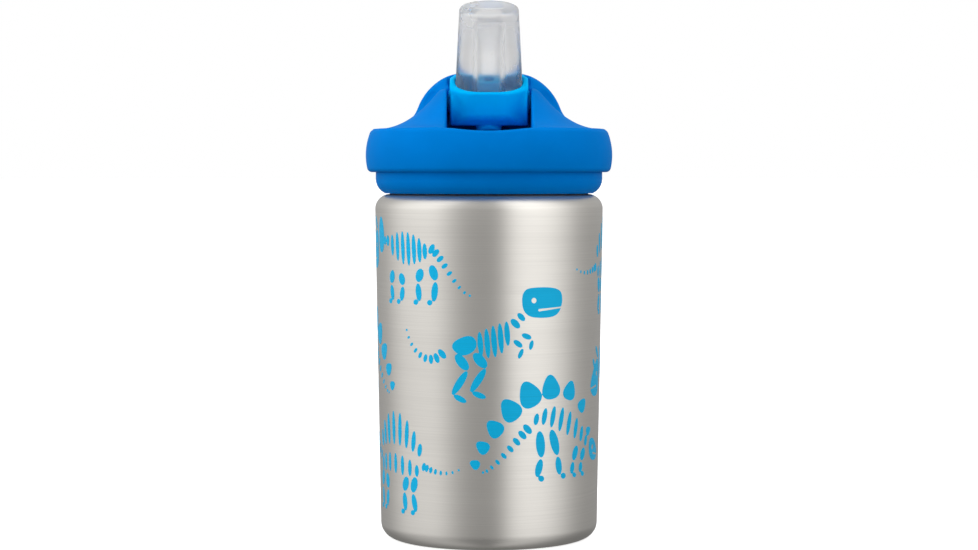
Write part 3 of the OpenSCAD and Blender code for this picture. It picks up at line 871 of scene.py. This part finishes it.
def bite_valve():
    """An oval plug that tapers to a nearly flat tip with a slit. Its bore fits the spout's nipple."""
    angle = np.arange(144) * TAU / 144
    tip, slant = 31.6, math.tan(math.radians(3))
    roof = tip - 2.9

    def ring(half_u, half_v, w, power=2.0, slope=0.0, slit=0.0):
        u = half_u * np.sign(np.cos(angle)) * np.abs(np.cos(angle)) ** (2 / power)
        v = half_v * np.sign(np.sin(angle)) * np.abs(np.sin(angle)) ** (2 / power)
        groove = slit * np.clip(1 - (v / 0.4) ** 2, 0, 1) * np.clip((4.6 - np.abs(u)) / 0.6, 0, 1)
        return to_row(u, v, w + slope * v - groove)

    inside = [(1.2, 0.9, roof), (2.6, 1.9, roof - 0.1), (3.5, 2.7, roof - 0.5), (4.0, 3.3, roof - 1.3),
              (4.2, 3.6, roof - 2.6), (4.3, 3.8, 22), (4.5, 4.1, 14), (4.6, 4.4, 10.2), (4.6, 4.6, 9.0),
              (4.6, 4.6, 2.4), (4.9, 4.9, 2.05), (5.6, 5.4, 2)]
    foot = [(10.2, 7.6, 2), (10.65, 8.0, 2.2), (10.8, 8.15, 2.7)]
    rings = [ring(*size) for size in inside] + [ring(*size, 2.35) for size in foot]
    rim = tip - 1.1
    for t in np.linspace(0, 1, 16):
        rings.append(ring(10.8 - 1.4 * t, 8.15 - 0.85 * t, 4 + (rim - 4) * t, 2.35 - 0.35 * t, slant * t))
    for a in np.radians(np.arange(12, 91, 13)):
        out, up = 1.1 * math.cos(a), 1.1 * math.sin(a)
        rings.append(ring(8.3 + out, 6.2 + out, rim + up, 2.0, slant))
    for t in np.linspace(0.95, 0.05, 19):
        dish = 0.5 * (1 - t) ** 2 * (1 + 2 * t)
        rings.append(ring(8.3 * t, 6.2 * t, tip - dish, 2.0, slant, 0.9))
    obj = add_mesh("bite_valve_silicone", *loft(rings, to_row(0, 0, roof), to_row(0, 0, tip - 1.4)), sharp=60)
    finish_piece(obj, "bite_valve", "silicone_clear", CLEAR, "bite_valve")


# ---------------------------------------------------------------- light, floor and camera


def area_light(name, place, power):
    """A softbox, aimed at the lid, that lights the plastic and that the steel does not mirror."""
    data = bpy.data.lights.new(name, "AREA")
    data.shape = "RECTANGLE"
    data.size = data.size_y = 0.4
    data.energy = power
    obj = bpy.data.objects.new(name, data)
    bpy.context.scene.collection.objects.link(obj)
    obj.location = place
    direction = Vector((0, 0, Z_RIM * MM)) - obj.location
    obj.rotation_euler = direction.to_track_quat("-Z", "Y").to_euler()
    obj.visible_glossy = False
    obj.visible_transmission = False


def floor():
    """A pale floor that only the camera sees: the steel doesn't mirror it. From below it is clear."""
    corners = [(-1, -1, 0), (1, -1, 0), (1, 1, 0), (-1, 1, 0)]
    obj = add_mesh("floor", np.array(corners) * FLOOR_HALF, [[0, 1, 2, 3]])
    mat, shader, node, link = material("floor_white", (0.9, 0.9, 0.9), 0.7)
    grain = stretched_noise(node, 30, (1, 1, 1))
    link(ranged(node, grain, 0.65, 0.75), "Roughness")
    shader.inputs["Emission Color"].default_value = (1, 1, 1, 1)
    shader.inputs["Emission Strength"].default_value = 0.62
    from_below = node("ShaderNodeNewGeometry").outputs["Backfacing"]
    clear = node("ShaderNodeBsdfTransparent")
    mix = node("ShaderNodeMixShader", {0: from_below, 1: shader.outputs[0], 2: clear.outputs[0]})
    node("ShaderNodeOutputMaterial", {"Surface": mix.outputs[0]}, is_active_output=True)
    obj.data.materials.append(mat)
    obj.visible_glossy = obj.visible_diffuse = obj.visible_transmission = obj.visible_shadow = False


# Brightness of the surroundings by azimuth, in degrees from the front to the right: a softbox on each side
SURROUNDINGS = [
    (-180, 0.44), (-150, 0.46), (-128, 0.55), (-112, 0.8), (-98, 1.02), (-75, 1.13), (-57, 1.15), (-46, 0.95),
    (-35, 0.68), (-22, 0.5), (-5, 0.44), (6, 0.44), (13, 0.6), (20, 1.02), (30, 1.36), (45, 1.42), (60, 1.34),
    (72, 1.16), (86, 0.88), (100, 0.6), (118, 0.47), (140, 0.44), (180, 0.44)]

# What shows through the clear silicone, by how straight behind the bottle it is: grey cards stand between the
# bright backdrop and the bright sides
BACKDROP = [(0.0, 0.9), (0.62, 0.9), (0.8, 0.7), (0.93, 0.7), (0.985, 1.0)]


def shades(ramp, levels):
    """Sets a colour ramp's stops to greys."""
    stops = ramp.color_ramp.elements
    for i, (position, level) in enumerate(levels):
        stop = stops[i] if i < 2 else stops.new(1.0)
        stop.position = position
        stop.color = (level, level, level, 1)


def studio():
    """Soft surroundings, five softboxes with the key at the upper left, a white background and the camera."""
    world = bpy.data.worlds.new("studio")
    bpy.context.scene.world = world
    world.use_nodes = True
    node = node_maker(world.node_tree)

    way = node("ShaderNodeSeparateXYZ", {0: node("ShaderNodeTexCoord").outputs["Generated"]}).outputs
    behind = node("ShaderNodeMath", {0: way["Y"], 1: -1.0}, operation="MULTIPLY").outputs[0]
    azimuth = node("ShaderNodeMath", {0: way["X"], 1: behind}, operation="ARCTAN2").outputs[0]
    place = node("ShaderNodeMath", {0: azimuth, 1: 1 / TAU, 2: 0.5}, operation="MULTIPLY_ADD").outputs[0]
    ramp = node("ShaderNodeValToRGB", {0: place})
    shades(ramp, [(degrees / 360 + 0.5, level) for degrees, level in SURROUNDINGS])
    dimming = {"Value": way["Z"], "From Min": -0.42, "From Max": 0.15, "To Min": 0.38, "To Max": 1.0}
    height = node("ShaderNodeMapRange", dimming, interpolation_type="SMOOTHSTEP").outputs["Result"]
    around = node("ShaderNodeBackground", {"Color": ramp.outputs["Color"], "Strength": height})

    rear = node("ShaderNodeMath", {0: way["Z"], 1: 0.85, 2: way["Y"]}, operation="MULTIPLY_ADD").outputs[0]
    backdrop = node("ShaderNodeValToRGB", {0: rear})
    shades(backdrop, BACKDROP)
    through = node("ShaderNodeBackground", {"Color": backdrop.outputs["Color"]})
    white = node("ShaderNodeBackground", {"Color": (1, 1, 1, 1)})
    ray = node("ShaderNodeLightPath").outputs
    seen = around
    for kind, other in (("Is Transmission Ray", through), ("Is Camera Ray", white)):
        seen = node("ShaderNodeMixShader", {0: ray[kind], 1: seen.outputs[0], 2: other.outputs[0]})
    output = world.node_tree.nodes["World Output"]
    world.node_tree.links.new(seen.outputs[0], output.inputs["Surface"])

    area_light("key", (-0.35, -0.37, 0.81), 2.1)
    area_light("left", (-0.81, -0.14, 0.35), 1.8)
    area_light("low", (-0.22, -0.81, 0.02), 0.8)
    area_light("right", (0.82, 0.12, 0.3), 0.9)
    area_light("top", (0.25, 0.2, 0.9), 0.9)

    data = bpy.data.cameras.new("camera")
    data.lens = 86.5
    data.sensor_width = 36
    data.clip_start = 0.01
    camera = bpy.data.objects.new("camera", data)
    bpy.context.scene.collection.objects.link(camera)
    camera.location = (0, -0.755, 0.1163)
    camera.rotation_euler = (math.radians(90 - 2.43), 0, 0)
    bpy.context.scene.camera = camera
    bpy.context.scene.view_settings.view_transform = "Standard"


outer_shell()
prints()
plain_nodes()
lid_cover()
thread_cap()
spout()
bite_valve()
floor()
studio()
